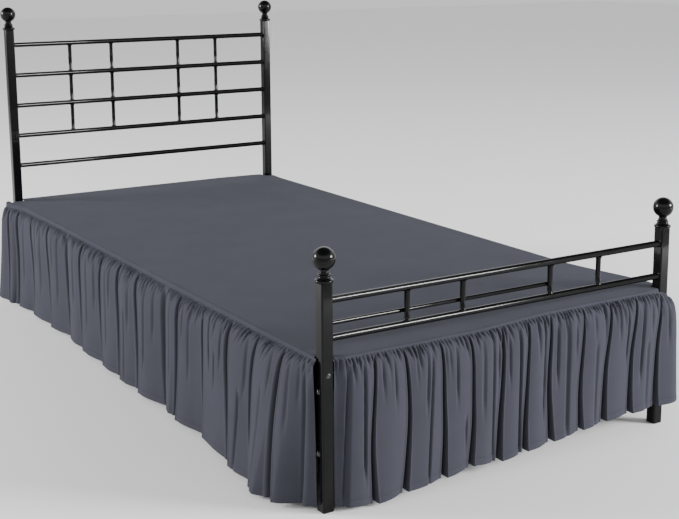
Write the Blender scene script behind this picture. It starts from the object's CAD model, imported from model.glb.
"""A gathered bed skirt on the metal twin bed that it falls over: deck sheet, three ruffles and bed frame.

Metres, +Z up. The foot of the bed is towards -Y and its head towards +Y.
"""

import bisect
import math
import random

import bmesh
import bpy
from mathutils import Matrix, Vector


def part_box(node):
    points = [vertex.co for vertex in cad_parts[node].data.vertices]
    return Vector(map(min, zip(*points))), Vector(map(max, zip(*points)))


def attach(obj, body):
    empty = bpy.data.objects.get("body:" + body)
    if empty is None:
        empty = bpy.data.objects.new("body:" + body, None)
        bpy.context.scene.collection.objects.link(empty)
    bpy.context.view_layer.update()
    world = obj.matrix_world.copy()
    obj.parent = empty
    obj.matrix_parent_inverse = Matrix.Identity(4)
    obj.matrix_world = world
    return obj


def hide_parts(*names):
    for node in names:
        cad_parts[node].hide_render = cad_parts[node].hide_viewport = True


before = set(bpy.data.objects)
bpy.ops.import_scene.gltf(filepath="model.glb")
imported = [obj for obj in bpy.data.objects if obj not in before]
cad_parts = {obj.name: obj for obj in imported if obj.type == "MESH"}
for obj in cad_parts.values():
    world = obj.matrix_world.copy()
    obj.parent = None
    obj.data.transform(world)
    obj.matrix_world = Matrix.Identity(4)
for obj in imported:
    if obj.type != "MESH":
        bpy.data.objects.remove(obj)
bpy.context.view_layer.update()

# ---------------------------------------------------------------- sizes of the skirt

MIDDLE_Y = 0.018  # the posts' middle stands this far off the origin
CLOTH = 0.0009  # the cloth as shown, a little thicker than real microfibre
ROLL = 0.006  # radius of the border where it turns down
DECK_Z = 0.3455  # middle of the flat sheet
DECK_SIDE = 0.5072  # middle of the turned-down border, left and right
DECK_FOOT = -1.0420  # middle of the turned-down border at the foot
DECK_HEAD = 1.0460
NOTCH_X = 0.4718  # the corners are cut away round the posts, past these two
NOTCH_Y = 1.0080
FRONT_X = 0.4952  # the border in front of the far foot post ends here
# By x: how far the deck is lifted at the foot, how far it sags away from it, and how far down to the seam
# the foot's border sinks at its corner, as a share
FOOT_LIFT = [(-0.1000, 0.0), (0.1000, 0.0100), (0.4300, 0.0110), (0.5072, 0.0100)]
RIGHT_SAG = [(0.3000, 0.0), (0.4300, 0.0020), (0.5072, 0.0050)]
CORNER_SINK = [(0.4300, 0.0), (0.4718, 0.45), (0.4952, 0.75)]
LIFT_FROM = -0.62
LIFT_RUN = 0.38
# Heights of the seams under the borders, by y at the sides and by x at the foot
LEFT_SEAM = [
    (-1.0165, 0.3370),
    (-0.8800, 0.3345),
    (-0.3000, 0.3310),
    (0.1000, 0.3330),
    (0.6000, 0.3330),
    (0.9000, 0.3290),
    (1.0460, 0.3250),
]
RIGHT_SEAM = [(-0.9840, 0.3310), (-0.6000, 0.3290), (0.9000, 0.3280), (1.0460, 0.3250)]
FOOT_SEAM = [
    (-0.4800, 0.3385),
    (-0.1000, 0.3390),
    (0.1000, 0.3480),
    (0.4300, 0.3500),
    (0.4718, 0.3440),
    (0.4952, 0.3360),
    (0.5600, 0.3180),
]
HEAD_SPREAD = 0.018  # how far the side borders swing out past the head posts
SPREAD_FROM = 0.880
SPREAD_TO = 1.046

CORNER = 0.012  # radius of the foot ruffle's path round the far foot post
PATH_SIDE = 0.5085
PATH_FOOT = -1.0425
GATHER_T = 0.085  # how fast folds open below the seam, as a share of the drop
FLARE_POWER = 1.25
HEM_BAND = 0.0142  # height of the turned and stitched hem

# A row for each main fold: its place at the seam, half way down and at the hem, half the width of its mouth,
# its depth, its gentle side (1 high, -1 low, 0 for a soft fold), how far its bottom leans towards higher
# places, and where down the drop it fades out
LEFT_FOLDS = [
    (-0.9880, -0.9890, -0.9870, 0.0090, 0.008, 0, 0.000, 2.00),
    (-0.9015, -0.9030, -0.9290, 0.0080, 0.018, 1, 0.002, 2.00),
    (-0.7830, -0.7795, -0.8300, 0.0066, 0.015, 1, 0.002, 0.62),
    (-0.6480, -0.6640, -0.6990, 0.0092, 0.021, 1, 0.003, 2.00),
    (-0.5020, -0.5100, -0.5190, 0.0050, 0.013, 1, 0.001, 2.00),
    (-0.3670, -0.3760, -0.3680, 0.0086, 0.022, 1, 0.002, 2.00),
    (-0.2660, -0.2660, -0.2850, 0.0200, 0.010, 0, 0.000, 2.00),
    (-0.0945, -0.1180, -0.1270, 0.0090, 0.021, 1, 0.003, 2.00),
    (0.0310, 0.0130, 0.0020, 0.0094, 0.022, 1, 0.003, 2.00),
    (0.1610, 0.1620, 0.1410, 0.0078, 0.018, 1, 0.002, 2.00),
    (0.3280, 0.3200, 0.3045, 0.0082, 0.019, 1, 0.002, 2.00),
    (0.4720, 0.4600, 0.4430, 0.0160, 0.009, 0, 0.000, 2.00),
    (0.6360, 0.6030, 0.5940, 0.0080, 0.018, 1, 0.002, 2.00),
    (0.7990, 0.7575, 0.7660, 0.0080, 0.018, 1, 0.002, 2.00),
    (0.9280, 0.8950, 0.8910, 0.0084, 0.018, 1, 0.002, 2.00),
    (0.9970, 0.9705, 0.9540, 0.0070, 0.013, 1, 0.001, 2.00),
]
FOOT_FOLDS = [
    (-0.3800, -0.3910, -0.3880, 0.0036, 0.015, -1, 0.001, 2.00),
    (-0.3060, -0.2990, -0.3120, 0.0038, 0.017, -1, 0.001, 2.00),
    (-0.2080, -0.2035, -0.2060, 0.0038, 0.017, -1, 0.001, 2.00),
    (-0.1270, -0.1220, -0.1310, 0.0036, 0.017, -1, 0.001, 2.00),
    (-0.0330, -0.0410, -0.0490, 0.0044, 0.016, -1, 0.001, 2.00),
    (0.0440, 0.0330, 0.0290, 0.0036, 0.016, -1, 0.001, 2.00),
    (0.1110, 0.1040, 0.1120, 0.0042, 0.013, -1, 0.001, 2.00),
    (0.2130, 0.1990, 0.2010, 0.0036, 0.017, -1, 0.001, 2.00),
    (0.2990, 0.2800, 0.2750, 0.0040, 0.017, -1, 0.001, 2.00),
    (0.3850, 0.3635, 0.3630, 0.0038, 0.016, -1, 0.001, 2.00),
    (0.4680, 0.4510, 0.4510, 0.0040, 0.015, -1, 0.001, 2.00),
]
RIGHT_FOLDS = [
    (-0.9250, -0.9180, -0.9240, 0.0080, 0.017, 1, 0.002, 2.00),
    (-0.8020, -0.8120, -0.8260, 0.0074, 0.016, -1, 0.002, 2.00),
    (-0.6880, -0.6820, -0.6680, 0.0080, 0.018, 1, 0.003, 2.00),
    (-0.5500, -0.5620, -0.5740, 0.0130, 0.011, 0, 0.000, 2.00),
    (-0.4280, -0.4200, -0.4100, 0.0080, 0.018, 1, 0.002, 2.00),
    (-0.2850, -0.2960, -0.3120, 0.0074, 0.017, -1, 0.002, 2.00),
    (-0.1700, -0.1660, -0.1560, 0.0200, 0.009, 0, 0.000, 2.00),
    (-0.0350, -0.0240, -0.0060, 0.0080, 0.019, 1, 0.003, 2.00),
    (0.1120, 0.1180, 0.1300, 0.0074, 0.017, 1, 0.002, 2.00),
    (0.2460, 0.2380, 0.2240, 0.0078, 0.018, -1, 0.002, 2.00),
    (0.3720, 0.3860, 0.3980, 0.0072, 0.016, 1, 0.001, 2.00),
    (0.5240, 0.5300, 0.5440, 0.0080, 0.018, 1, 0.002, 2.00),
    (0.6600, 0.6520, 0.6400, 0.0140, 0.012, 0, 0.000, 2.00),
    (0.8020, 0.8140, 0.8260, 0.0076, 0.017, 1, 0.002, 2.00),
    (0.9400, 0.9360, 0.9300, 0.0078, 0.016, -1, 0.002, 2.00),
]

# Softer folds between the main ones: place at the seam and at the hem, half width, depth, and where down the
# drop each starts and stops. The right ruffle shares the left one's.
LEFT_SOFT = [
    (-0.9720, -0.9720, 0.006, 0.0040, 0.02, 0.40),
    (-0.9400, -0.9500, 0.008, 0.0050, 0.02, 0.60),
    (-0.8630, -0.8630, 0.007, 0.0055, 0.00, 0.40),
    (-0.8300, -0.8500, 0.010, 0.0035, 0.30, 1.10),
    (-0.7450, -0.7420, 0.009, 0.0050, 0.02, 0.55),
    (-0.7080, -0.7400, 0.008, 0.0060, 0.45, 1.10),
    (-0.6150, -0.6200, 0.007, 0.0055, 0.03, 0.45),
    (-0.5850, -0.5880, 0.006, 0.0055, 0.28, 0.62),
    (-0.5400, -0.5700, 0.006, 0.0085, 0.02, 0.50),
    (-0.4400, -0.4430, 0.009, 0.0040, 0.04, 0.70),
    (-0.4050, -0.4060, 0.007, 0.0040, 0.02, 0.40),
    (-0.3200, -0.3280, 0.010, 0.0040, 0.04, 0.80),
    (-0.2100, -0.2160, 0.009, 0.0045, 0.03, 0.55),
    (-0.1600, -0.1700, 0.009, 0.0045, 0.05, 0.85),
    (-0.0550, -0.0650, 0.010, 0.0045, 0.04, 0.60),
    (-0.0250, -0.0420, 0.008, 0.0040, 0.35, 1.10),
    (0.0850, 0.0700, 0.009, 0.0045, 0.03, 0.50),
    (0.1200, 0.0980, 0.010, 0.0040, 0.10, 0.90),
    (0.2100, 0.2000, 0.010, 0.0045, 0.04, 0.60),
    (0.2700, 0.2550, 0.010, 0.0040, 0.05, 0.85),
    (0.3900, 0.3750, 0.011, 0.0050, 0.04, 0.70),
    (0.4330, 0.4430, 0.009, 0.0080, 0.70, 1.10),
    (0.5400, 0.5250, 0.011, 0.0045, 0.06, 0.80),
    (0.5850, 0.5600, 0.009, 0.0040, 0.03, 0.50),
    (0.6900, 0.6700, 0.012, 0.0050, 0.05, 0.80),
    (0.7450, 0.7100, 0.010, 0.0040, 0.04, 0.55),
    (0.8550, 0.8350, 0.011, 0.0045, 0.05, 0.80),
    (0.9620, 0.9300, 0.008, 0.0040, 0.04, 0.70),
]
FOOT_SOFT = [
    (-0.4460, -0.4560, 0.007, 0.0110, 0.04, 1.10),
    (-0.4110, -0.4120, 0.006, 0.0085, 0.02, 0.90),
    (-0.3660, -0.3590, 0.005, 0.0050, 0.02, 0.36),
    (-0.3480, -0.3480, 0.005, 0.0040, 0.00, 0.25),
    (-0.3370, -0.3300, 0.005, 0.0045, 0.00, 0.45),
    (-0.2780, -0.2780, 0.005, 0.0045, 0.00, 0.30),
    (-0.2690, -0.2690, 0.005, 0.0035, 0.00, 0.24),
    (-0.2480, -0.2620, 0.006, 0.0055, 0.02, 0.55),
    (-0.2340, -0.2520, 0.006, 0.0060, 0.02, 1.10),
    (-0.1990, -0.1940, 0.005, 0.0040, 0.00, 0.30),
    (-0.1890, -0.1800, 0.005, 0.0040, 0.00, 0.32),
    (-0.1700, -0.1700, 0.006, 0.0050, 0.00, 0.55),
    (-0.1410, -0.1460, 0.006, 0.0045, 0.60, 0.95),
    (-0.0950, -0.0980, 0.008, 0.0040, 0.02, 0.70),
    (-0.0670, -0.0670, 0.007, 0.0060, 0.02, 1.10),
    (-0.0490, -0.0560, 0.005, 0.0040, 0.00, 0.45),
    (-0.0190, -0.0190, 0.005, 0.0045, 0.00, 0.50),
    (0.0130, 0.0120, 0.007, 0.0100, 0.00, 1.10),
    (0.0690, 0.0670, 0.006, 0.0050, 0.00, 0.36),
    (0.0890, 0.0850, 0.006, 0.0055, 0.00, 0.90),
    (0.1290, 0.1240, 0.006, 0.0060, 0.00, 0.62),
    (0.1580, 0.1550, 0.010, 0.0070, 0.02, 1.10),
    (0.1840, 0.1800, 0.006, 0.0040, 0.00, 0.45),
    (0.2420, 0.2400, 0.006, 0.0040, 0.00, 0.32),
    (0.2755, 0.2770, 0.006, 0.0050, 0.00, 0.36),
    (0.2480, 0.2420, 0.008, 0.0040, 0.30, 1.10),
    (0.3230, 0.3200, 0.006, 0.0045, 0.00, 0.40),
    (0.3390, 0.3380, 0.005, 0.0040, 0.00, 0.30),
    (0.3540, 0.3380, 0.006, 0.0055, 0.00, 0.62),
    (0.4055, 0.3860, 0.007, 0.0060, 0.00, 0.80),
    (0.4320, 0.4300, 0.006, 0.0045, 0.00, 0.40),
    (0.4200, 0.4150, 0.009, 0.0040, 0.40, 1.10),
    (0.4870, 0.4860, 0.006, 0.0040, 0.00, 0.50),
    (0.5080, 0.5150, 0.010, 0.0035, 0.05, 0.90),
]

# How far the hem stands out past the seam, by place
LEFT_FLARE = [
    (-1.0165, -0.001),
    (-0.9900, 0.012),
    (-0.9450, 0.046),
    (-0.8800, 0.064),
    (-0.8000, 0.044),
    (-0.6500, 0.026),
    (-0.4700, 0.013),
    (-0.3000, 0.016),
    (0.0000, 0.014),
    (0.4500, 0.010),
    (0.8000, 0.009),
    (0.8840, 0.018),
    (0.9560, 0.032),
    (1.0460, 0.022),
]
FOOT_FLARE = [
    (-0.4742, -0.004),
    (-0.4500, 0.004),
    (-0.3700, 0.010),
    (0.2000, 0.007),
    (0.4400, 0.006),
    (0.5000, 0.010),
    (0.5600, 0.014),
]
RIGHT_FLARE = [
    (-0.9840, 0.014),
    (-0.9000, 0.040),
    (-0.7800, 0.052),
    (-0.6000, 0.026),
    (-0.3000, 0.013),
    (0.1000, 0.017),
    (0.5000, 0.010),
    (0.8000, 0.012),
    (0.9500, 0.020),
    (1.0460, 0.034),
]

# Heights of the hems above the floor, by place
LEFT_HEM = [(-1.0165, 0.0110), (-0.880, 0.0090), (-0.400, 0.0120), (0.400, 0.0130), (1.046, 0.0120)]
FOOT_HEM = [
    (-0.4752, 0.0110),
    (-0.3800, 0.0080),
    (-0.3000, 0.0190),
    (-0.1900, 0.0270),
    (-0.1200, 0.0370),
    (-0.0400, 0.0290),
    (0.0450, 0.0370),
    (0.1300, 0.0420),
    (0.2100, 0.0530),
    (0.3000, 0.0610),
    (0.4000, 0.0610),
    (0.5000, 0.0640),
    (0.5600, 0.0680),
]
RIGHT_HEM = [(-0.984, 0.0600), (-0.700, 0.0220), (0.000, 0.0140), (1.046, 0.0120)]

# How the gathers slant below the seam, by place: sideways run for each metre down
LEFT_SLANT = [(-1.005, 0.10), (-0.960, 0.35), (-0.700, 0.40), (-0.560, 0.15), (1.046, 0.05)]
FOOT_SLANT = [(-0.474, -0.05), (-0.300, 0.10), (0.560, 0.05)]
RIGHT_SLANT = [(-0.984, -0.10), (1.046, 0.08)]

SIDE_INSET = [(-0.9800, 0.0), (-0.9300, 0.012), (1.0460, 0.012)]  # how far valleys go in past the seam
FOOT_INSET = [(-0.4500, 0.0), (-0.4200, 0.008), (0.4200, 0.008), (0.4450, 0.0)]
TUCK = 0.0085  # the foot's cloth goes back this far beside the near post
TUCK_FROM = -0.4470
TUCK_RUN = 0.0248

# Where each ruffle starts and ends
FOOT_PATH = (-0.4752, 0.5600)
LEFT_PATH = (-1.0165, 1.0460)
RIGHT_PATH = (-0.9840, 1.0460)

# ---------------------------------------------------------------- small helpers


def read_off(table, place):
    """Reads a table of (place, value) rows, in straight steps between them."""
    for (a, low), (b, high) in zip(table, table[1:]):
        if place <= b:
            share = max(0.0, (place - a) / (b - a))
            return low + (high - low) * share
    return table[-1][1]


def smooth(share):
    share = min(1.0, max(0.0, share))
    return share * share * (3 - 2 * share)


def dip(x):
    """A rounded valley: 1 at its middle, 0 from one half width away."""
    return 0.5 * (1 + math.cos(math.pi * x)) if abs(x) < 1 else 0.0


def deselect():
    if bpy.context.object and bpy.context.object.mode != "OBJECT":
        bpy.ops.object.mode_set(mode="OBJECT")
    bpy.ops.object.select_all(action="DESELECT")


def activate(piece):
    deselect()
    piece.select_set(True)
    bpy.context.view_layer.objects.active = piece


def apply_modifiers(piece):
    activate(piece)
    for modifier in list(piece.modifiers):
        bpy.ops.object.modifier_apply(modifier=modifier.name)


def name_piece(piece, name, material):
    piece.name = name
    piece.data.name = name
    piece.data.materials.clear()
    piece.data.materials.append(material)
    return piece


def place_mesh(piece, matrix):
    """Puts a piece in its place with its object left at the origin, unturned."""
    piece.data.transform(matrix)
    piece.data.update()


def copy_piece(piece, name):
    twin = piece.copy()
    twin.data = piece.data.copy()
    twin.name = name
    twin.data.name = name
    bpy.context.scene.collection.objects.link(twin)
    return twin


# ---------------------------------------------------------------- materials


def linear(hex_code):
    """An sRGB hex colour as linear RGBA."""
    parts = [int(hex_code[i : i + 2], 16) / 255 for i in (1, 3, 5)]
    return (*[c / 12.92 if c <= 0.04045 else ((c + 0.055) / 1.055) ** 2.4 for c in parts], 1.0)


def add(tree, kind, settings=(), values=(), links=()):
    """Adds a node with its settings, socket values and links into it."""
    node = tree.nodes.new(kind)
    for key, value in dict(settings).items():
        setattr(node, key, value)
    for key, value in dict(values).items():
        node.inputs[key].default_value = value
    for key, source in dict(links).items():
        tree.links.new(source, node.inputs[key])
    return node


def start_material(name, values):
    material = bpy.data.materials.new(name)
    material.use_nodes = True
    tree = material.node_tree
    shader = tree.nodes["Principled BSDF"]
    for key, value in values.items():
        shader.inputs[key].default_value = value
    return material, tree, shader


def fabric_material():
    """Brushed polyester microfibre, plain woven: a matt slate grey, with a soft nap that catches light."""
    values = {"Roughness": 0.86, "Sheen Weight": 0.04, "Sheen Roughness": 0.45, "Specular IOR Level": 0.05}
    material, tree, shader = start_material("brushed microfibre slate", values)
    shader.inputs["Sheen Tint"].default_value = linear("#9aa0ad")
    cloth = add(tree, "ShaderNodeUVMap", {"uv_map": "cloth"}).outputs["UV"]
    place = add(tree, "ShaderNodeTexCoord").outputs["Object"]
    # threads of about 0.3 mm, drawn at 1.3 mm so that they show
    turn = math.tau / 0.0013 / 20
    warp = add(
        tree, "ShaderNodeTexWave", {"bands_direction": "X"},
        {"Scale": turn, "Distortion": 0.6, "Detail": 1.0, "Detail Scale": 2.0}, {"Vector": cloth},
    )
    weft = add(
        tree, "ShaderNodeTexWave", {"bands_direction": "Y"},
        {"Scale": turn, "Distortion": 0.6, "Detail": 1.0, "Detail Scale": 2.0}, {"Vector": cloth},
    )
    weave = add(
        tree, "ShaderNodeMix", {"data_type": "FLOAT"}, {0: 0.5},
        {2: warp.outputs["Fac"], 3: weft.outputs["Fac"]},
    )
    # the nap lies in soft patches a few centimetres across, and the dye varies a little with it
    nap = add(
        tree, "ShaderNodeTexNoise", (), {"Scale": 9.0, "Detail": 5.0, "Roughness": 0.62}, {"Vector": place}
    )
    fuzz = add(tree, "ShaderNodeTexNoise", (), {"Scale": 900.0, "Detail": 2.0}, {"Vector": place})
    ramp = add(tree, "ShaderNodeValToRGB", (), (), {"Fac": nap.outputs["Fac"]})
    ramp.color_ramp.elements[0].position = 0.28
    ramp.color_ramp.elements[0].color = linear("#383940")
    ramp.color_ramp.elements[1].position = 0.74
    ramp.color_ramp.elements[1].color = linear("#3c3d45")
    grain = add(
        tree, "ShaderNodeMapRange", (), {"From Min": 0.2, "From Max": 0.8, "To Min": 0.95, "To Max": 1.04},
        {"Value": fuzz.outputs["Fac"]},
    )
    threads = add(
        tree, "ShaderNodeMapRange", (), {"From Min": 0.1, "From Max": 0.9, "To Min": 0.95, "To Max": 1.03},
        {"Value": weave.outputs[0]},
    )
    fine = add(
        tree, "ShaderNodeMath", {"operation": "MULTIPLY"}, (),
        {0: grain.outputs["Result"], 1: threads.outputs["Result"]},
    )
    colour = add(
        tree, "ShaderNodeVectorMath", {"operation": "SCALE"}, (),
        {"Vector": ramp.outputs["Color"], "Scale": fine.outputs["Value"]},
    )
    tree.links.new(colour.outputs["Vector"], shader.inputs["Base Color"])
    height = add(
        tree, "ShaderNodeMath", {"operation": "MULTIPLY_ADD"}, {1: 0.5},
        {0: fuzz.outputs["Fac"], 2: weave.outputs[0]},
    )
    bump = add(
        tree, "ShaderNodeBump", (), {"Strength": 0.35, "Distance": 0.0003},
        {"Height": height.outputs["Value"]},
    )
    tree.links.new(bump.outputs["Normal"], shader.inputs["Normal"])
    return material


def coated_steel(name, colour, roughness, peel, gloss):
    """Powder coated steel: a deep glossy black skin with the faint orange peel that baked powder leaves."""
    coat = {"Coat Weight": 0.18, "Coat Roughness": 0.03}
    values = {"Roughness": roughness, "Specular IOR Level": gloss, **coat}
    material, tree, shader = start_material(name, values)
    place = add(tree, "ShaderNodeTexCoord").outputs["Object"]
    skin = add(tree, "ShaderNodeTexNoise", (), {"Scale": 420.0, "Detail": 2.0}, {"Vector": place})
    dust = add(
        tree, "ShaderNodeTexNoise", (), {"Scale": 26.0, "Detail": 6.0, "Roughness": 0.7}, {"Vector": place}
    )
    ramp = add(tree, "ShaderNodeValToRGB", (), (), {"Fac": dust.outputs["Fac"]})
    ramp.color_ramp.elements[0].position = 0.35
    ramp.color_ramp.elements[0].color = linear(colour)
    ramp.color_ramp.elements[1].position = 0.80
    ramp.color_ramp.elements[1].color = linear("#0d0d0e")
    tree.links.new(ramp.outputs["Color"], shader.inputs["Base Color"])
    rough = add(
        tree, "ShaderNodeMapRange", (),
        {"From Min": 0.3, "From Max": 0.8, "To Min": roughness - 0.03, "To Max": roughness + 0.09},
        {"Value": dust.outputs["Fac"]},
    )
    tree.links.new(rough.outputs["Result"], shader.inputs["Roughness"])
    bump = add(
        tree, "ShaderNodeBump", (), {"Strength": peel, "Distance": 0.0002}, {"Height": skin.outputs["Fac"]}
    )
    tree.links.new(bump.outputs["Normal"], shader.inputs["Normal"])
    return material


def moulded_plastic():
    """Polypropylene, injection moulded: a dull black with a fine spark-eroded grain."""
    material, tree, shader = start_material("moulded polypropylene black", {"Roughness": 0.55, "IOR": 1.49})
    place = add(tree, "ShaderNodeTexCoord").outputs["Object"]
    grain = add(tree, "ShaderNodeTexNoise", (), {"Scale": 1400.0, "Detail": 3.0}, {"Vector": place})
    ramp = add(tree, "ShaderNodeValToRGB", (), (), {"Fac": grain.outputs["Fac"]})
    ramp.color_ramp.elements[0].color = linear("#131314")
    ramp.color_ramp.elements[1].color = linear("#1f1f20")
    tree.links.new(ramp.outputs["Color"], shader.inputs["Base Color"])
    bump = add(
        tree, "ShaderNodeBump", (), {"Strength": 0.4, "Distance": 0.0002}, {"Height": grain.outputs["Fac"]}
    )
    tree.links.new(bump.outputs["Normal"], shader.inputs["Normal"])
    return material


def plain_floor():
    """A pale matt studio floor."""
    values = {"Roughness": 0.9, "Specular IOR Level": 0.1}
    material, _, shader = start_material("pale studio floor", values)
    shader.inputs["Base Color"].default_value = linear("#f4f4f4")
    return material


FABRIC = fabric_material()
STEEL = coated_steel("powder coated steel gloss black", "#050506", 0.14, 0.06, 0.08)
BOLT = coated_steel("black oxide steel bolt", "#2c2c2e", 0.22, 0.20, 0.60)
PLASTIC = moulded_plastic()

# ---------------------------------------------------------------- the sheets


def head_spread(y):
    return HEAD_SPREAD * smooth((y - SPREAD_FROM) / (SPREAD_TO - SPREAD_FROM))


def sheet_mesh(name, blocks, thickness):
    """A cloth sheet of blocks, each with rows of (x, y, z, u, v) and a test for which cells are cloth."""
    points, maps, faces = [], [], []
    for rows, kept in blocks:
        count, start = len(rows[0]), len(points)
        for row in rows:
            for x, y, z, u, v in row:
                points.append((x, y + MIDDLE_Y, z))
                maps.append((u, v))
        for r in range(len(rows) - 1):
            for c in range(count - 1):
                if kept is None or kept(r, c):
                    corner = start + r * count + c
                    faces.append((corner, corner + 1, corner + count + 1, corner + count))
    mesh = bpy.data.meshes.new(name)
    mesh.from_pydata(points, [], faces)
    layer = mesh.uv_layers.new(name="cloth")
    for loop in mesh.loops:
        layer.data[loop.index].uv = maps[loop.vertex_index]
    mesh.update()
    piece = bpy.data.objects.new(name, mesh)
    bpy.context.scene.collection.objects.link(piece)
    name_piece(piece, name, FABRIC)
    shell = bmesh.new()
    shell.from_mesh(mesh)
    loose = [vertex for vertex in shell.verts if not vertex.link_faces]
    bmesh.ops.delete(shell, geom=loose, context="VERTS")
    shell.to_mesh(mesh)
    shell.free()
    cloth = piece.modifiers.new("cloth", "SOLIDIFY")
    cloth.thickness = thickness
    cloth.offset = 0.0
    apply_modifiers(piece)
    activate(piece)
    bpy.ops.object.shade_smooth_by_angle(angle=math.radians(50))
    return piece


WANDER = 0.0010  # how far a fold strays from its curve


def fold_place(fold, t):
    """Where a fold is at t, on a smooth curve through its three places, with a little wander."""
    seam, middle, hem = fold[:3]
    between = math.sin(math.pi * min(1.0, max(0.0, t)))
    wander = WANDER * math.sin(math.tau * (1.3 * t + 37.0 * seam)) * between
    return seam * (1 - t) * (1 - 2 * t) + middle * 4 * t * (1 - t) + hem * t * (2 * t - 1) + wander


# The small gathers along a seam: ranges to draw from
GATHER_HALF = (0.0026, 0.0042)  # half width
GATHER_DEPTH = (0.0058, 0.0112)
GATHER_LENGTHS = (0.014, 0.020, 0.028, 0.040, 0.062)
GATHER_STRETCH = (0.85, 1.15)
GATHER_LEAN = (-0.12, 0.12)
GATHER_STEP = (0.0062, 0.0130)  # from one to the next
GATHER_MARGIN = 0.004  # none starts nearer to an end of the ruffle
GATHER_REACH = 0.075  # none is longer
GATHER_BESIDE = (0.045, 0.030)  # one that starts farther off, below or above, doesn't reach a place
GATHER_WIDENS = 0.055  # a gather is twice as wide this far below the seam
GATHER_GROWS = 0.005  # and at its full depth this far below it


def gather_rows(path, slant, seed):
    """The small gathers along a seam: (place, half width, depth, length, slant) in order of place."""
    source = random.Random(seed)
    rows = []
    place = path[0] + GATHER_MARGIN
    while place < path[1] - GATHER_MARGIN:
        half = source.uniform(*GATHER_HALF)
        depth = source.uniform(*GATHER_DEPTH)
        length = source.choice(GATHER_LENGTHS) * source.uniform(*GATHER_STRETCH)
        lean = read_off(slant, place) + source.uniform(*GATHER_LEAN)
        rows.append((place, half, depth, length, lean))
        place += source.uniform(*GATHER_STEP)
    return rows


def gather_dip(gathers, places, place, v):
    """How far the gathers pull the cloth in at a place, v below the seam."""
    if v > GATHER_REACH:
        return 0.0
    below, above = GATHER_BESIDE
    first = bisect.bisect_left(places, place - below)
    last = bisect.bisect_right(places, place + above)
    pulled = 0.0
    for start, half, depth, length, lean in gathers[first:last]:
        if v < length:
            x = (place - start - lean * v) / (half * (1 + v / GATHER_WIDENS))
            if abs(x) < 1:
                grown = 0.35 + 0.65 * min(1.0, max(0.0, v) / GATHER_GROWS)
                pulled += depth * grown * (1 - abs(x)) ** 1.3 * (1 - smooth(v / length))
    return pulled


# Rows of a ruffle: distances below the seam, then even rows between, then heights above the hem's edge
TOP_ROWS = (
    -0.0035, -0.0010, 0.0008, 0.0024, 0.0042, 0.0064, 0.0090, 0.0122, 0.0160, 0.0204, 0.0254, 0.0312, 0.0378,
    0.0454, 0.0540, 0.0640, 0.0750,
)
MIDDLE_ROWS = 20
HEM_ROWS = (HEM_BAND + 0.0008, HEM_BAND, HEM_BAND - 0.0008, 0.0100, 0.0055, 0.0020, 0.0006, 0.0)
# Across a fold, from its shoulder to its bottom: (distance in half mouths, share of the depth)
GENTLE_WALL = [
    (2.70, 0.00),
    (2.30, -0.04),
    (1.90, -0.05),
    (1.60, 0.00),
    (1.32, 0.10),
    (1.12, 0.26),
    (1.00, 0.48),
    (0.95, 0.70),
    (0.80, 0.88),
    (0.45, 0.98),
]
CRISP_WALL = [
    (1.90, 0.00),
    (1.62, -0.05),
    (1.36, -0.06),
    (1.14, -0.01),
    (1.00, 0.12),
    (0.94, 0.32),
    (0.95, 0.55),
    (0.96, 0.75),
    (0.82, 0.90),
    (0.45, 0.98),
]
SOFT_STEPS = (1.0, 0.9, 0.8, 0.7, 0.6, 0.5, 0.4, 0.28, 0.18, 0.09)
SOFT_WALL = [(w, 0.5 * (1 + math.cos(math.pi * w))) for w in SOFT_STEPS]
MOUTH = (0.5, 0.42, 0.30)  # width of a fold's mouth at the seam, added as it opens, and added at the hem


def row_heights(drop):
    """Distances below the seam of a ruffle's rows, for one place's drop."""
    low, high = TOP_ROWS[-1], drop - HEM_ROWS[0]
    middle = [low + (high - low) * (k + 1) / (MIDDLE_ROWS + 1) for k in range(MIDDLE_ROWS)]
    return [*TOP_ROWS, *middle, *[drop - h for h in HEM_ROWS]]


def fold_walls(gentle):
    """The low and the high wall of a fold."""
    if gentle == 0:
        return SOFT_WALL, SOFT_WALL
    return (CRISP_WALL, GENTLE_WALL) if gentle > 0 else (GENTLE_WALL, CRISP_WALL)


def ruffle_stations(folds, path, t, counts):
    """Columns at t: (place, share of the fold, level the cloth stands at, share across the lobe, twist)."""
    opened = 1 - math.exp(-max(0.0, t) / GATHER_T)
    mouth = MOUTH[0] + MOUTH[1] * opened + MOUTH[2] * max(0.0, t) ** 3
    last, level = path[0], 0.0
    stations = [(path[0], 0.0, level, 0.0, 0.0)]
    for number, fold in enumerate(folds):
        centre, half, depth, gentle, lean, fade = fold_place(fold, t), *fold[3:]
        if gentle:
            half *= mouth
        low_wall, high_wall = fold_walls(gentle)
        kept = 1 - smooth((t - fade) / 0.2)
        near = centre - half * low_wall[0][0]
        for k in range(1, counts[number] + 1):
            q = k / (counts[number] + 1)
            stations.append((last + (near - last) * q, 0.0, level + (depth - level) * smooth(q), q, q - 0.5))
        across = [(-w, share, 0.5) for w, share in low_wall] + [(0.0, 1.0, 0.0)]
        across += [(w, share, -0.5) for w, share in reversed(high_wall)]
        for w, share, twist in across:
            inner = max(0.0, share)
            place = centre + half * w + lean * inner * opened
            stations.append((place, share * kept, depth, 0.0, twist * (1 - inner)))
        last, level = centre + half * high_wall[0][0], depth
    for k in range(1, counts[-1] + 1):
        q = k / counts[-1]
        stations.append((last + (path[1] - last) * q, 0.0, level, q if k < counts[-1] else 0.0, q - 0.5))
    return stations


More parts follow.
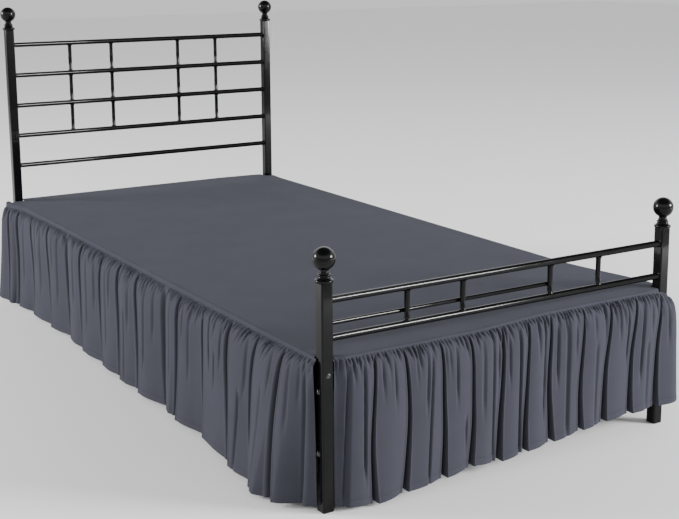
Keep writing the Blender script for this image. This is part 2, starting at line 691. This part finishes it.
FOLD_RUN = 0.022  # length of the seam that a fold's own columns take
FOLD_TAKE = 0.018  # flat cloth that goes into a fold, from its shoulder to its bottom
EASE = 1.05  # flat cloth for each length of the folded line
SWELL = (0.003, 0.007)  # how far a lobe between two folds stands out
USUAL_DROP = 0.325
TOP_PUFF = 0.0070  # the cloth puffs out this far just below the seam, then sinks back down the drop
PUFF_GROWS = 0.005
PUFF_SINKS = 0.10
SEAM_PULL = 0.0016  # the seam itself draws it in
STITCH_DEPTH = 0.0005  # groove along the hem's stitches
STITCH_HALF = 0.0014
HEM_LAYER = 0.0004  # the turned hem stands out by this much


def ruffle(name, folds, soft, path, place_of, seam, hem, flare, inset, slant, twist, spacing, seed):
    """A gathered ruffle: main folds that open below the seam, softer ones between, gathers at the seam."""
    edges = [path[0], *[fold[0] for fold in folds], path[1]]
    counts = [max(2, round((b - a - FOLD_RUN) / spacing)) for a, b in zip(edges, edges[1:])]
    gathers = gather_rows(path, slant, seed)
    places = [row[0] for row in gathers]
    source = random.Random(seed + 1)
    swell = [source.uniform(*SWELL) for _ in counts]
    columns = ruffle_stations(folds, path, 0.5, counts)
    along, lobe_of, lobe = [0.0], [0], 0
    for before, here in zip(columns, columns[1:]):
        along.append(along[-1] + math.hypot(here[0] - before[0], FOLD_TAKE * (here[1] - before[1])) * EASE)
        if before[3] and not here[3]:
            lobe += 1
        lobe_of.append(min(lobe, len(counts) - 1))
    row_count = len(row_heights(USUAL_DROP))
    rows = []
    for r in range(row_count):
        row = []
        guess = row_heights(USUAL_DROP)[r] / USUAL_DROP
        for c, (place, share, level, q, turned_by) in enumerate(ruffle_stations(folds, path, guess, counts)):
            top = read_off(seam, place)
            drop = top - read_off(hem, place)
            v = row_heights(drop)[r]
            t = v / drop
            opened = 1 - math.exp(-max(0.0, t) / GATHER_T)
            inner = max(0.0, share)
            out = read_off(flare, place) * max(0.0, t) ** FLARE_POWER + level * opened * (1 - share)
            out -= read_off(inset, place) * opened * inner * min(1.0, 0.6 + t)
            out += twist * turned_by * t * t
            if q:
                out += swell[lobe_of[c]] * opened * math.sin(math.pi * q)
            for at_seam, at_hem, half, depth, start, stop in soft:
                x = (place - at_seam - (at_hem - at_seam) * t) / half
                if abs(x) < 1:
                    window = smooth((t - start) / 0.10 + 0.4) * (1 - smooth((t - stop) / 0.22 + 1.0))
                    out -= depth * dip(x) * window * (1 - inner) * opened
            below = max(0.0, v)
            out += TOP_PUFF * (1 - math.exp(-below / PUFF_GROWS)) * math.exp(-below / PUFF_SINKS)
            out -= gather_dip(gathers, places, place, v) * (1 - inner)
            out -= SEAM_PULL * (1 - smooth((v + 0.0010) / 0.0030))
            from_hem = drop - v
            out -= STITCH_DEPTH * dip((from_hem - HEM_BAND) / STITCH_HALF)
            out += HEM_LAYER * smooth((HEM_BAND - from_hem) / 0.001)
            row.append((*place_of(place, out), top - v, along[c], v))
        rows.append(row)
    return sheet_mesh(name, [(rows, None)], CLOTH)


def foot_tuck(x):
    """How far the cloth along the foot goes back beside the near post."""
    return TUCK * smooth((TUCK_FROM - x) / TUCK_RUN)


def side_place(sign):
    """Points of a side ruffle: its place is Y, and it stands outside the side border."""

    def point(place, out):
        return sign * (PATH_SIDE + head_spread(place) + out), place

    return point


def foot_point(place, out):
    """Points of the foot ruffle: its place is X, then runs on round the far post's corner."""
    turn_x = PATH_SIDE - CORNER
    centre_y = PATH_FOOT + CORNER
    arc = CORNER * math.pi / 2
    if place <= turn_x:
        return place, PATH_FOOT + foot_tuck(place) - out
    if place <= turn_x + arc:
        angle = (place - turn_x) / CORNER
        reach = CORNER + out
        return turn_x + reach * math.sin(angle), centre_y - reach * math.cos(angle)
    return PATH_SIDE + out, centre_y + (place - turn_x - arc)


def deck_height(x, y):
    """The flat deck, lifted a little along the foot's right half and sagging along the right side."""
    at_foot = smooth((LIFT_FROM - y) / LIFT_RUN)
    return DECK_Z + read_off(FOOT_LIFT, x) * at_foot - read_off(RIGHT_SAG, x) * (1 - at_foot)


SLAT_STEP = 0.225
SLAT_DIP = 0.0004  # the sheet sinks this far between two slats


def deck_rest(x, y):
    """Small unevenness of the sheet where it lies: soft swells, gone at its borders."""
    edge = smooth((0.47 - abs(x)) / 0.06) * smooth((0.99 + y) / 0.06) * smooth((1.03 - y) / 0.05)
    swell = 0.0007 * math.sin(7.3 * x + 2.1 * y + 0.6) * math.sin(5.1 * y - 3.7 * x + 1.3)
    swell += 0.0004 * math.sin(17.0 * x - 9.0 * y + 2.0) * math.sin(12.0 * y + 1.0)
    slats = -SLAT_DIP * (1 - math.cos(math.tau * y / SLAT_STEP)) / 2
    return (swell + slats) * edge


BORDER_TURN = [math.radians(a) for a in (0, 15, 30, 45, 60, 75, 90)]  # round the roll
BORDER_DROP = (0.3, 0.6, 0.85, 1.0)  # then shares of the way down to the seam
BORDER_LAP = (0.006, 0.00012)  # the border starts this far in on the flat deck, and this far under it
BORDER_PAST_POST = 5  # past a post only the rows from this one down are cloth
PUCKER = 0.0015
DECK_STEP = 0.0118
TUCK_BACK = 0.036  # the flat deck's tuck beside the near foot post fades out over this length


def pucker(place, seed):
    """Small puckers where the gathers pull at a border's edge."""
    return (
        0.5 * math.sin(math.tau * place / 0.0093 + seed)
        + 0.3 * math.sin(math.tau * place / 0.0061 + 2.0 * seed + 0.8 * math.sin(31.0 * place))
        + 0.2 * math.sin(math.tau * place / 0.0217 + 3.0 * seed)
    )


def border_strip(edge, path, point, seam_of, spacing, seed):
    """A turned-down border: rows from the flat deck over the roll to the seam, puckered at its edge."""
    count = round((path[1] - path[0]) / spacing)
    rows = []
    flat = edge - ROLL
    stations = [(flat - BORDER_LAP[0], BORDER_LAP[1], 0.0)]
    stations += [(flat + ROLL * math.sin(a), ROLL * (1 - math.cos(a)), 0.0) for a in BORDER_TURN]
    stations += [(edge, ROLL, share) for share in BORDER_DROP]
    for out, drop, share in stations:
        row = []
        for c in range(count + 1):
            place = path[0] + (path[1] - path[0]) * c / count
            height, sink = point(place, out, None)
            to_seam = height - read_off(seam_of, place)
            down = drop + share * (to_seam - ROLL)
            if drop > ROLL * 0.1:
                down += (to_seam - down) * sink
            pull = smooth((down - 0.002) / max(0.001, to_seam - 0.002))
            wave = pucker(place, seed)
            out_here = out + PUCKER * pull * wave
            down += PUCKER * pull * wave * (1.0 if share == 1.0 else 0.5)
            x, y = point(place, out_here, drop)
            row.append((x, y, height - down, place, out_here + down))
        rows.append(row)
    return rows


def deck_sheet():
    """The sheet over the platform with its border turned down at both sides and at the foot."""
    flat_x = DECK_SIDE - ROLL
    flat_y = DECK_FOOT + ROLL
    columns = round(2 * flat_x / DECK_STEP)
    lines = round((DECK_HEAD - flat_y) / DECK_STEP)
    xs = [-flat_x + 2 * flat_x * c / columns for c in range(columns + 1)]
    ys = [flat_y + (DECK_HEAD - flat_y) * r / lines for r in range(lines + 1)]
    for target in (-NOTCH_X, NOTCH_X):
        xs[min(range(len(xs)), key=lambda c: abs(xs[c] - target))] = target
    for target in (-NOTCH_Y, NOTCH_Y):
        ys[min(range(len(ys)), key=lambda r: abs(ys[r] - target))] = target
    field = []
    for y in ys:
        back = max(0.0, 1 - (y - flat_y) / TUCK_BACK)
        field.append([(x, y + foot_tuck(x) * back, deck_height(x, y) + deck_rest(x, y), x, y) for x in xs])

    def kept(r, c):
        return abs(xs[c] + xs[c + 1]) / 2 < NOTCH_X or abs(ys[r] + ys[r + 1]) / 2 < NOTCH_Y

    def side_point(sign):
        def point(place, out, drop):
            if drop is None:
                return deck_height(sign * min(out, DECK_SIDE), place), 0.0
            hang = min(1.0, drop / ROLL)
            return sign * (out + head_spread(place) * hang), place

        return point

    def foot_border(place, out, drop):
        if drop is None:
            return deck_height(place, -min(out, -DECK_FOOT)), read_off(CORNER_SINK, place)
        return place, foot_tuck(place) - out

    left_run = (LEFT_PATH[0], DECK_HEAD)
    right_run = (-NOTCH_Y, DECK_HEAD)
    foot_run = (-NOTCH_X, FRONT_X)
    left = border_strip(DECK_SIDE, left_run, side_point(-1), LEFT_SEAM, spacing=0.0027, seed=0.4)
    right = border_strip(DECK_SIDE, right_run, side_point(1), RIGHT_SEAM, spacing=0.0032, seed=1.9)
    foot = border_strip(-DECK_FOOT, foot_run, foot_border, FOOT_SEAM, spacing=0.0024, seed=3.1)

    def in_front(r, c):
        beyond_post = foot[0][c + 1][0] > NOTCH_X + 0.0005
        return not beyond_post or r >= BORDER_PAST_POST

    def past_posts(rows):
        def test(r, c):
            beyond_post = abs(rows[0][c][1] + rows[0][c + 1][1]) / 2 > NOTCH_Y
            return not beyond_post or r >= BORDER_PAST_POST

        return test

    blocks = [(field, kept), (left, past_posts(left)), (right, past_posts(right)), (foot, in_front)]
    return sheet_mesh("deck_cloth", blocks, CLOTH)


def fix_facing(piece):
    """Turns every shell of a piece so that its faces point outwards."""
    activate(piece)
    bpy.ops.object.mode_set(mode="EDIT")
    bpy.ops.mesh.select_all(action="SELECT")
    bpy.ops.mesh.normals_make_consistent(inside=False)
    bpy.ops.object.mode_set(mode="OBJECT")


deck = deck_sheet()
ruffle_left = ruffle(
    "ruffle_left_cloth", LEFT_FOLDS, LEFT_SOFT, LEFT_PATH, side_place(-1), LEFT_SEAM, LEFT_HEM,
    LEFT_FLARE, SIDE_INSET, LEFT_SLANT, twist=0.010, spacing=0.0023, seed=11,
)
ruffle_right = ruffle(
    "ruffle_right_cloth", RIGHT_FOLDS, LEFT_SOFT, RIGHT_PATH, side_place(1), RIGHT_SEAM, RIGHT_HEM,
    RIGHT_FLARE, SIDE_INSET, RIGHT_SLANT, twist=0.010, spacing=0.0030, seed=23,
)
ruffle_foot = ruffle(
    "ruffle_foot_cloth", FOOT_FOLDS, FOOT_SOFT, FOOT_PATH, foot_point, FOOT_SEAM, FOOT_HEM, FOOT_FLARE,
    FOOT_INSET, FOOT_SLANT, twist=-0.009, spacing=0.0018, seed=37,
)
for cloth, node in (
    (deck, "deck_sheet"),
    (ruffle_left, "ruffle_left"),
    (ruffle_right, "ruffle_right"),
    (ruffle_foot, "ruffle_foot"),
):
    fix_facing(cloth)
    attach(cloth, "root")
    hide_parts(node)

# ---------------------------------------------------------------- the bed frame

TUBE_SIDES = 32
BALL_SIDES = 56
BOLT_SIDES = 24
PAD_SIDES = 40


def turned(name, profile, material, sides):
    """A piece drawn up from one disc through rings of (radius, height)."""
    deselect()
    radius, height = profile[0]
    bpy.ops.mesh.primitive_circle_add(
        vertices=sides, radius=radius, fill_type="NGON", location=(0.0, 0.0, height)
    )
    piece = bpy.context.object
    bpy.ops.object.transform_apply(location=True, rotation=True, scale=True)
    bpy.ops.object.mode_set(mode="EDIT")
    bpy.ops.mesh.select_all(action="SELECT")
    for next_radius, next_height in profile[1:]:
        bpy.ops.mesh.extrude_region_move(TRANSFORM_OT_translate={"value": (0.0, 0.0, next_height - height)})
        scale = next_radius / radius
        bpy.ops.transform.resize(value=(scale, scale, 1.0))
        radius, height = next_radius, next_height
    bpy.ops.mesh.select_all(action="SELECT")
    bpy.ops.mesh.remove_doubles(threshold=0.000001)
    bpy.ops.mesh.normals_make_consistent(inside=False)
    bpy.ops.object.mode_set(mode="OBJECT")
    bpy.ops.object.shade_smooth_by_angle(angle=math.radians(38))
    return name_piece(piece, name, material)


def finish_piece(piece, node):
    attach(piece, "root")
    if node:
        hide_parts(node)
    return piece


def node_run(node):
    """A CAD tube's start, end and radius, from its box."""
    low, high = (Vector(corner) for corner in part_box(node))
    size = high - low
    axis = max(range(3), key=lambda k: size[k])
    middle = (low + high) / 2
    start, end = middle.copy(), middle.copy()
    start[axis], end[axis] = low[axis], high[axis]
    return start, end, min(size) / 2


def welded_tube(node, sink, bead):
    """A tube with a weld bead round each end, sunk a little into what it meets."""
    start, end, radius = node_run(node)
    run = end - start
    direction = run.normalized()
    start = start - direction * sink
    length = run.length + 2 * sink
    foot = [
        (radius + bead, 0.0),
        (radius + bead * 0.96, sink + bead * 0.25),
        (radius + bead * 0.62, sink + bead * 0.75),
        (radius + bead * 0.22, sink + bead * 1.25),
        (radius, sink + bead * 1.7),
    ]
    profile = foot + [(radius, length / 2)] + [(r, length - h) for r, h in reversed(foot)]
    piece = turned(f"{node}_tube", profile, STEEL, TUBE_SIDES)
    turn = direction.to_track_quat("Z", "Y").to_matrix().to_4x4()
    place_mesh(piece, Matrix.Translation(start) @ turn)
    return finish_piece(piece, node)


# How far a tube's ends are sunk, and how far its weld beads stand out
RAIL_WELD = (0.0006, 0.0016)
UPRIGHT_WELD = (0.0016, 0.0020)
BAR_WELD = (0.0006, 0.0012)
LEG_WELD = (0.0003, 0.0012)

for row in range(1, 6):
    welded_tube(f"head_rail_{row}", *RAIL_WELD)
for bay in range(1, 4):
    for column in range(1, 5):
        welded_tube(f"head_upright_{bay}_{column}", *UPRIGHT_WELD)
for row in (1, 2):
    welded_tube(f"foot_rail_{row}", *RAIL_WELD)
for column in range(1, 5):
    welded_tube(f"foot_upright_{column}", *UPRIGHT_WELD)
welded_tube("foot_thin_bar", *BAR_WELD)

BALL_RADIUS = 0.025
BALL_HEIGHT = 0.0514  # of its centre above the post
BALL_GROOVE = 0.0004  # depth of the joint line
FINIAL_FOOT = [  # (radius, height above the post), from the post up
    (0.0180, 0.0),
    (0.0193, 0.0006),
    (0.0200, 0.0014),
    (0.0204, 0.0028),
    (0.0205, 0.0040),
    (0.0204, 0.0054),
    (0.0200, 0.0064),
    (0.0193, 0.0071),
    (0.0180, 0.0077),
    (0.0165, 0.0086),
    (0.0150, 0.0100),
    (0.0138, 0.0118),
    (0.0131, 0.0134),
    (0.0134, 0.0142),
    (0.0142, 0.0149),
    (0.0147, 0.0158),
    (0.0148, 0.0166),
    (0.0145, 0.0175),
    (0.0135, 0.0183),
    (0.0122, 0.0190),
    (0.0113, 0.0198),
    (0.0113, 0.0206),
    (0.0116, 0.0213),
    (0.0115, 0.0221),
    (0.0107, 0.0229),
    (0.0098, 0.0238),
    (0.0095, 0.0250),
]


def finial_profile():
    """A ringed foot, a neck and a ball with the fine joint line round its middle."""
    profile = list(FINIAL_FOOT)
    angles = [*range(-64, 0, 4), -1.8, -0.9, 0.9, 1.8, *range(4, 88, 4), 87, 89.3]
    for angle in angles:
        radius = BALL_RADIUS - (BALL_GROOVE if abs(angle) < 1.0 else 0.0)
        a = math.radians(angle)
        profile.append((radius * math.cos(a), BALL_HEIGHT + radius * math.sin(a)))
    return profile


model = turned("finial_model", finial_profile(), STEEL, BALL_SIDES)
for end in ("head", "foot"):
    for side in ("left", "right"):
        low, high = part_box(f"{end}_finial_{side}")
        piece = copy_piece(model, f"{end}_finial_{side}_turned")
        place = Vector(((low[0] + high[0]) / 2, (low[1] + high[1]) / 2, low[2]))
        place_mesh(piece, Matrix.Translation(place))
        finish_piece(piece, f"{end}_finial_{side}")
bpy.data.objects.remove(model, do_unlink=True)


POST_EDGE = 0.0034  # rounding of the tube's corners
POST_CUT = 0.0009  # and of its cut ends


def square_post(node):
    """A square tube post with drawn, rounded corners."""
    low, high = (Vector(corner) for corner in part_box(node))
    deselect()
    bpy.ops.mesh.primitive_cube_add(size=1.0, location=(low + high) / 2)
    piece = bpy.context.object
    piece.scale = high - low
    bpy.ops.object.transform_apply(location=True, rotation=True, scale=True)
    bpy.ops.object.mode_set(mode="EDIT")
    bpy.ops.mesh.select_mode(type="EDGE")
    bpy.ops.mesh.select_all(action="DESELECT")
    shape = bmesh.from_edit_mesh(piece.data)
    for edge in shape.edges:
        a, b = edge.verts
        edge.select_set(abs(a.co.z - b.co.z) > 0.1)
    bmesh.update_edit_mesh(piece.data)
    bpy.ops.mesh.bevel(offset=POST_EDGE, segments=6, affect="EDGES")
    bpy.ops.mesh.select_all(action="DESELECT")
    shape = bmesh.from_edit_mesh(piece.data)
    for edge in shape.edges:
        edge.select_set(all(min(v.co.z - low.z, high.z - v.co.z) < 1e-6 for v in edge.verts))
    bmesh.update_edit_mesh(piece.data)
    bpy.ops.mesh.bevel(offset=POST_CUT, segments=3, affect="EDGES")
    bpy.ops.mesh.select_all(action="SELECT")
    bpy.ops.mesh.normals_make_consistent(inside=False)
    bpy.ops.object.mode_set(mode="OBJECT")
    bpy.ops.object.shade_smooth_by_angle(angle=math.radians(35))
    return finish_piece(name_piece(piece, f"{node}_tube", STEEL), node)


for end in ("head", "foot"):
    for side in ("left", "right"):
        square_post(f"{end}_post_{side}")

# Bolt heads that hold the side rails and the corner plates
BOLT_PROFILE = [  # (radius, height), with a shallow socket in the head
    (0.0062, 0.0),
    (0.0062, 0.0007),
    (0.0058, 0.0011),
    (0.0047, 0.0011),
    (0.0047, 0.0024),
    (0.0044, 0.0031),
    (0.0036, 0.0035),
    (0.0024, 0.0036),
    (0.0022, 0.0028),
    (0.0002, 0.0026),
]
POST_X = 0.490
END_BOLT_Z = 0.308
UPPER_BOLT_Z = 0.270
LOWER_BOLT_Z = 0.131
near_low, near_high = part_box("foot_post_left")
head_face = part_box("head_post_left")[1][1]
left_face, foot_face = near_low[0], near_low[1]
foot_y = (near_low[1] + near_high[1]) / 2
BOLTS = [  # (name, place, the way it faces)
    ("foot_left_face", (-POST_X, foot_face, END_BOLT_Z), (0, -1, 0)),
    ("foot_left_upper", (left_face, foot_y + 0.003, UPPER_BOLT_Z), (-1, 0, 0)),
    ("foot_left_lower", (left_face, foot_y + 0.004, LOWER_BOLT_Z), (-1, 0, 0)),
    ("head_left_face", (-POST_X, head_face, END_BOLT_Z), (0, 1, 0)),
    ("head_right_face", (POST_X, head_face, END_BOLT_Z), (0, 1, 0)),
]
model = turned("bolt_model", BOLT_PROFILE, BOLT, BOLT_SIDES)
for name, place, facing in BOLTS:
    piece = copy_piece(model, f"bolt_{name}")
    turn = Vector(facing).to_track_quat("Z", "Y").to_matrix().to_4x4()
    place_mesh(piece, Matrix.Translation(Vector(place)) @ turn)
    finish_piece(piece, None)
bpy.data.objects.remove(model, do_unlink=True)


def leg_and_pad(end):
    """A centre leg's tube, and the moulded pad that it stands on."""
    low, high = (Vector(corner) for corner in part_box(f"centre_pad_{end}"))
    radius = (high.x - low.x) / 2
    centre = Matrix.Translation(Vector(((low.x + high.x) / 2, (low.y + high.y) / 2, 0.0)))
    pad = [
        (radius - 0.002, 0.0),
        (radius, 0.0015),
        (radius, 0.006),
        (radius - 0.002, 0.0085),
        (radius - 0.006, 0.010),
    ]
    piece = turned(f"centre_pad_{end}_moulded", pad, PLASTIC, PAD_SIDES)
    place_mesh(piece, centre)
    finish_piece(piece, f"centre_pad_{end}")
    welded_tube(f"centre_leg_{end}", *LEG_WELD)


leg_and_pad("foot")
leg_and_pad("head")

BASE_NODES = ["spine", "side_rail_left", "side_rail_right", "cross_rail_head", "cross_rail_foot"]
BASE_NODES += [f"slat_{n}" for n in range(1, 10)]
BASE_NODES += [f"corner_plate_{end}_{side}" for end in ("head", "foot") for side in ("left", "right")]
for node in BASE_NODES:
    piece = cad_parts[node]
    piece.data.materials.clear()
    piece.data.materials.append(STEEL)
    weld = piece.modifiers.new("joined faces", "WELD")
    weld.merge_threshold = 0.00001
    worn = piece.modifiers.new("eased edges", "BEVEL")
    worn.width = 0.0008
    worn.segments = 2
    worn.limit_method = "ANGLE"
    worn.angle_limit = math.radians(40)

# ---------------------------------------------------------------- floor, light and camera

deselect()
bpy.ops.mesh.primitive_plane_add(size=40.0, location=(0.0, 0.0, 0.0))
floor = name_piece(bpy.context.object, "floor", plain_floor())

world = bpy.data.worlds.new("studio")
bpy.context.scene.world = world
world.use_nodes = True
# Bright walls all round and a dimmer ceiling: (height, share of the light)
WALL_LIGHT = [(0.0, 0.38), (0.08, 0.38), (0.28, 1.0), (0.50, 0.90), (0.72, 0.06)]
WALL_STRENGTH = 2.1
tree = world.node_tree
tree.nodes["Background"].inputs["Color"].default_value = linear("#ffffff")
outwards = add(tree, "ShaderNodeTexCoord").outputs["Generated"]
height = add(tree, "ShaderNodeSeparateXYZ", (), (), {0: outwards})
walls = add(tree, "ShaderNodeValToRGB", (), (), {"Fac": height.outputs["Z"]})
for number, (position, share) in enumerate(WALL_LIGHT):
    stops = walls.color_ramp.elements
    stop = stops[number] if number < 2 else stops.new(position)
    stop.position = position
    stop.color = (share, share, share, 1.0)
strength = add(
    tree, "ShaderNodeMath", {"operation": "MULTIPLY"}, {1: WALL_STRENGTH}, {0: walls.outputs["Color"]}
)
tree.links.new(strength.outputs["Value"], tree.nodes["Background"].inputs["Strength"])


def soft_light(name, place, target, size, power):
    lamp = bpy.data.lights.new(name, "AREA")
    lamp.shape = "RECTANGLE"
    lamp.size, lamp.size_y = size
    lamp.energy = power
    holder = bpy.data.objects.new(name, lamp)
    bpy.context.scene.collection.objects.link(holder)
    holder.location = place
    holder.rotation_euler = (Vector(target) - Vector(place)).to_track_quat("-Z", "Y").to_euler()


soft_light("left light", (-6.6, 4.0, 2.5), (0.0, -1.2, 0.3), (2.6, 1.9), 840.0)
soft_light("right light", (5.8, -5.9, 2.7), (0.0, -0.8, 0.3), (2.5, 1.8), 1260.0)

CAMERA_PLACE = (-1.7989, -3.1829, 1.1783)
CAMERA_YAW = 31.7657  # to the right of +Y, in degrees
CAMERA_PITCH = 11.0594  # down
CAMERA_ROLL = -0.2968
camera_data = bpy.data.cameras.new("camera")
camera = bpy.data.objects.new("camera", camera_data)
bpy.context.scene.collection.objects.link(camera)
turn = Matrix.Rotation(math.radians(-CAMERA_YAW), 4, "Z")
turn = turn @ Matrix.Rotation(math.radians(90.0 - CAMERA_PITCH), 4, "X")
turn = turn @ Matrix.Rotation(math.radians(CAMERA_ROLL), 4, "Z")
camera.matrix_world = Matrix.Translation(Vector(CAMERA_PLACE)) @ turn
camera_data.sensor_width = 36.0
camera_data.lens = 66.887
camera_data.shift_y = -0.0876
bpy.context.scene.camera = camera
